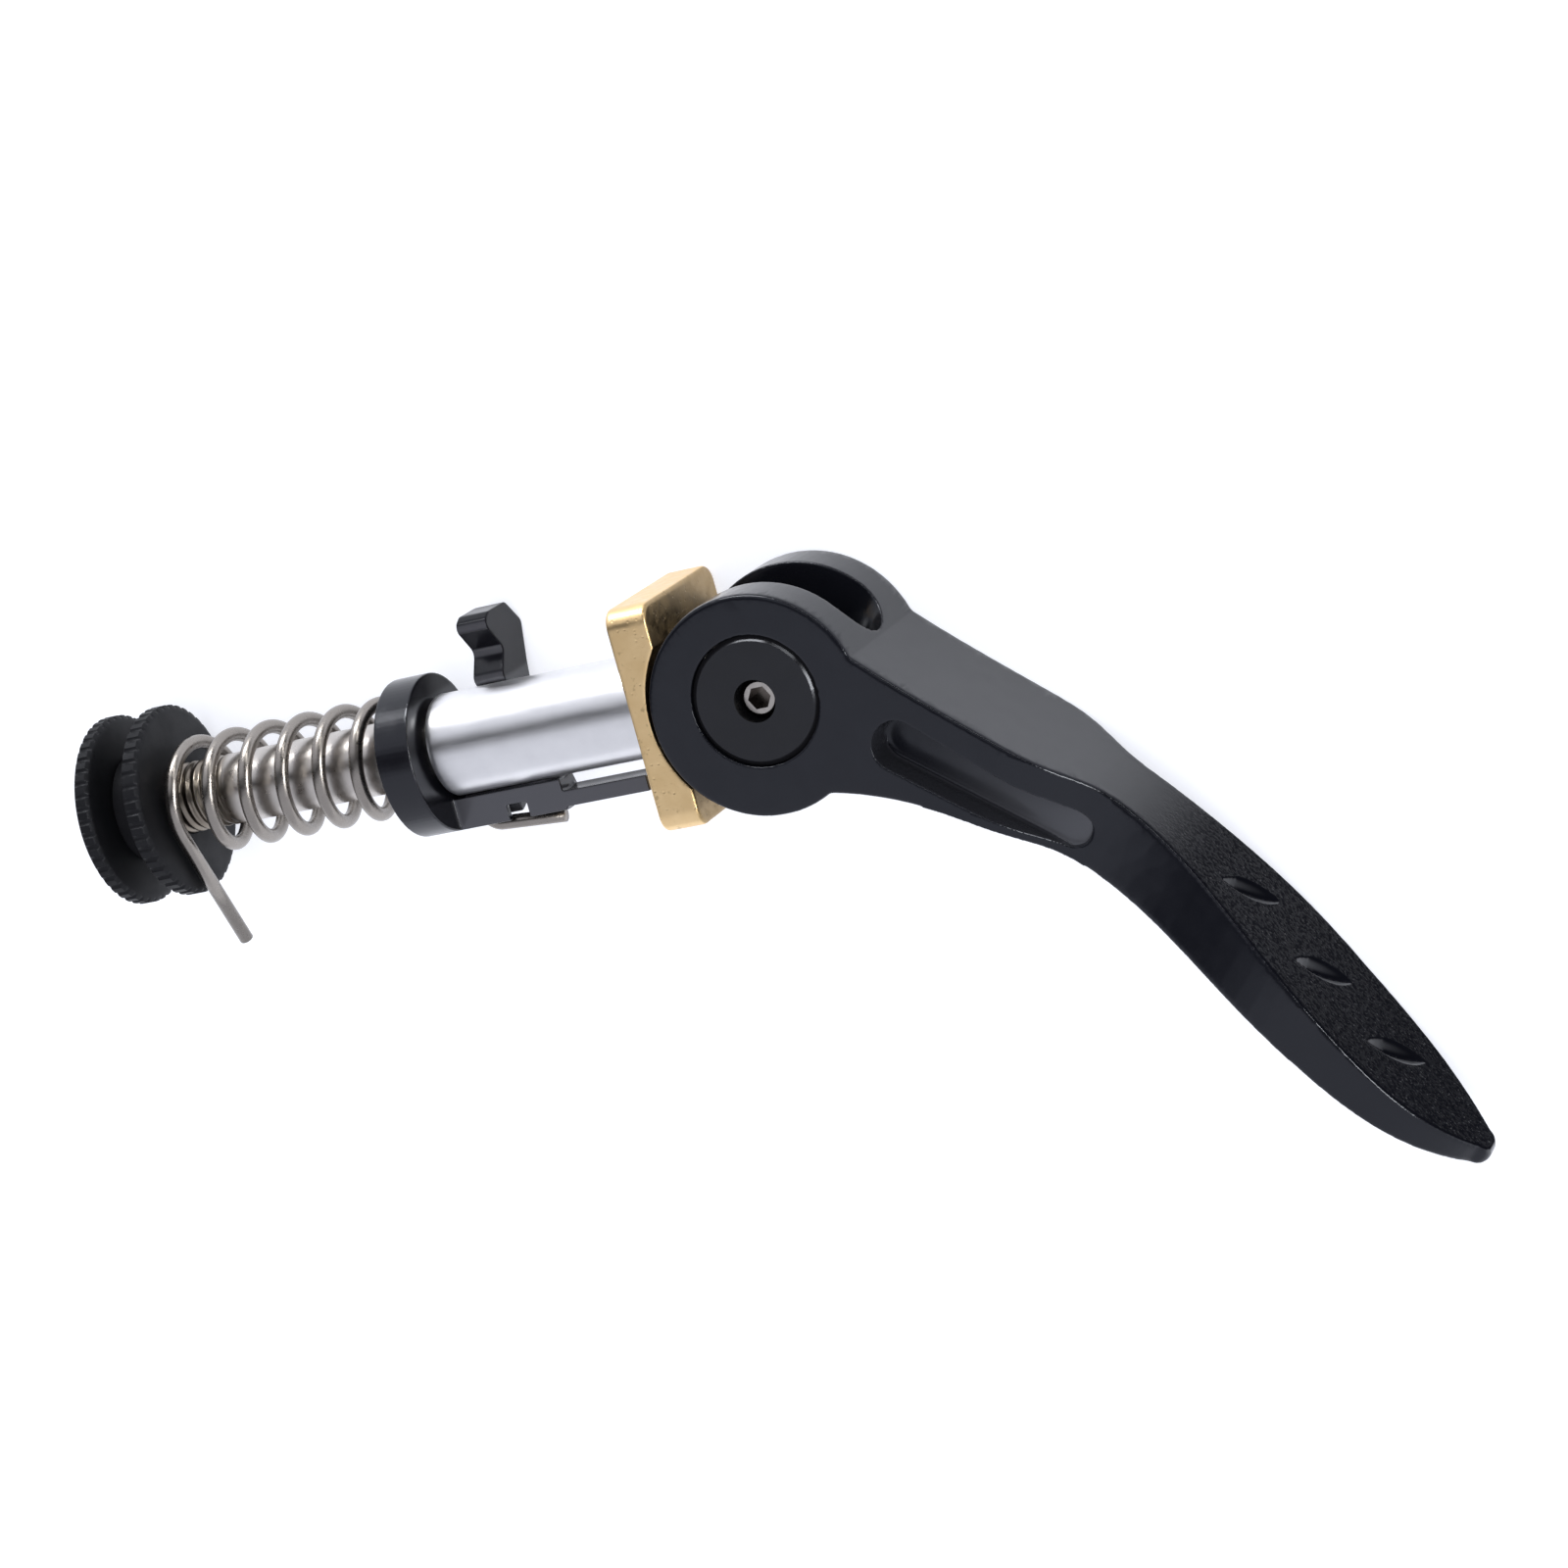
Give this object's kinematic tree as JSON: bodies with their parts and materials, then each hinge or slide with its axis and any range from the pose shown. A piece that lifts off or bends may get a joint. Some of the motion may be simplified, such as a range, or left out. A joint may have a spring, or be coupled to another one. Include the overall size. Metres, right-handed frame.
{
  "type": "quick release seatpost clamp",
  "caption": "Quick release seatpost clamp: forked cam lever on a cross barrel, brass cam saddle and sleeve, spindle with sprung hook catch and knurled nuts at its end.",
  "frame": {"origin": "on the spindle's axis, in the flat back of the cam saddle, where it bears on the frame's lug", "axes": "+X along the spindle from the nuts to the lever, +Z along the cam pivot and up as the clamp lies on its side, +Y across"},
  "size_m": [0.1293, 0.0682, 0.019],
  "materials": {
    "lever_black": "gloss black anodised",
    "barrel_black": "satin black",
    "catch_black": "satin black",
    "nut_black": "matte black anodised",
    "saddle_brass": "sintered",
    "bare_alloy": "satin",
    "spindle_steel": "dull plated",
    "spring_steel": "drawn wire",
    "screw_steel": "bright"
  },
  "bodies": {
    "spindle_unit": {"spindle": "spindle_steel", "pivot_barrel": "barrel_black", "set_screw": "screw_steel"},
    "lever_unit": {"cam_lever": "lever_black"},
    "saddle_unit": {"cam_saddle": "saddle_brass", "sleeve": "bare_alloy"},
    "catch_unit": {"hook_catch": "catch_black", "torsion_spring": "spring_steel"},
    "adjusting_unit": {"adjusting_nut": "nut_black"},
    "lock_unit": {"lock_nut": "nut_black"}
  },
  "joints": [
    {"name": "lever_swing", "type": "hinge", "parent": "spindle_unit", "child": "lever_unit", "pos_m": [0.01273, 0, 0], "axis": [0, 0, 1], "range_deg": [-45, 110]},
    {"name": "saddle_travel", "type": "slide", "parent": "spindle_unit", "child": "saddle_unit", "axis": [1, 0, 0], "range_m": [-0.00029, 0.00069]},
    {"name": "catch_turn", "type": "hinge", "parent": "spindle_unit", "child": "catch_unit", "pos_m": [-0.0259, 0, 0], "axis": [1, 0, 0], "range_deg": [-45, 45], "stiffness_Nm_per_rad": 0.05, "deforming": ["torsion_spring"]},
    {"name": "adjusting_nut_turn", "type": "hinge", "parent": "spindle_unit", "child": "adjusting_unit", "pos_m": [-0.0541, 0, 0], "axis": [1, 0, 0], "continuous": true},
    {"name": "lock_nut_turn", "type": "hinge", "parent": "spindle_unit", "child": "lock_unit", "pos_m": [-0.05965, 0, 0], "axis": [1, 0, 0], "continuous": true}
  ],
  "couplings": [
    {"joint": "saddle_travel", "follows": "lever_swing", "m_per_rad": 0.00035}
  ]
}
